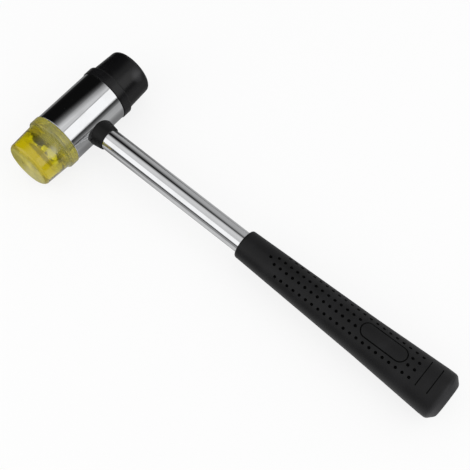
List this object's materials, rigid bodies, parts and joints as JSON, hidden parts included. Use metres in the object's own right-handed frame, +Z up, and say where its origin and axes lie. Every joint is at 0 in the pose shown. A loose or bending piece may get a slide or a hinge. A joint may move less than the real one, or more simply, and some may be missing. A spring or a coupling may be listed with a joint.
{
  "type": "soft face hammer",
  "caption": "Double-ended soft face hammer: chromed steel barrel with screwed-in faces of clear yellow plastic and black rubber, on a chromed tube handle with a dimpled rubber grip.",
  "frame": {"origin": "on the floor, under the middle of the hammer's bounding box, with the hammer lying on its side", "axes": "+X along the handle to the butt, +Y along the head to the black rubber face, +Z up"},
  "size_m": [0.296, 0.0934, 0.036],
  "materials": {
    "chrome_plate": "bright chrome plate on polished steel",
    "zinc_steel": "bright zinc plate",
    "yellow_plastic": "clear amber-yellow moulding, glossy",
    "face_rubber": "hard black rubber, satin",
    "collar_rubber": "black rubber, satin",
    "grip_rubber": "moulded black rubber, matt"
  },
  "bodies": {
    "hammer_frame": {"head_barrel": "chrome_plate", "handle_tube": "chrome_plate", "handle_collar": "collar_rubber", "grip": "grip_rubber"},
    "yellow_washer": {"yellow_lock_washer": "zinc_steel"},
    "yellow_end": {"yellow_face": "yellow_plastic", "yellow_face_bolt": "zinc_steel"},
    "black_washer": {"black_lock_washer": "zinc_steel"},
    "black_end": {"black_face": "face_rubber", "black_face_bolt": "zinc_steel"}
  },
  "joints": [
    {"name": "yellow_face_travel", "type": "slide", "parent": "hammer_frame", "child": "yellow_washer", "axis": [0, -1, 0], "range_m": [0, 0.00875]},
    {"name": "yellow_face_turn", "type": "hinge", "parent": "yellow_washer", "child": "yellow_end", "pos_m": [-0.13, -0.0208, 0.018], "axis": [0, -1, 0], "range_deg": [0, 1800]},
    {"name": "black_face_travel", "type": "slide", "parent": "hammer_frame", "child": "black_washer", "axis": [0, 1, 0], "range_m": [0, 0.00875]},
    {"name": "black_face_turn", "type": "hinge", "parent": "black_washer", "child": "black_end", "pos_m": [-0.13, 0.0208, 0.018], "axis": [0, 1, 0], "range_deg": [0, 1800]}
  ],
  "couplings": [
    {"joint": "yellow_face_travel", "follows": "yellow_face_turn", "m_per_rad": 0.00027852},
    {"joint": "black_face_travel", "follows": "black_face_turn", "m_per_rad": 0.00027852}
  ]
}
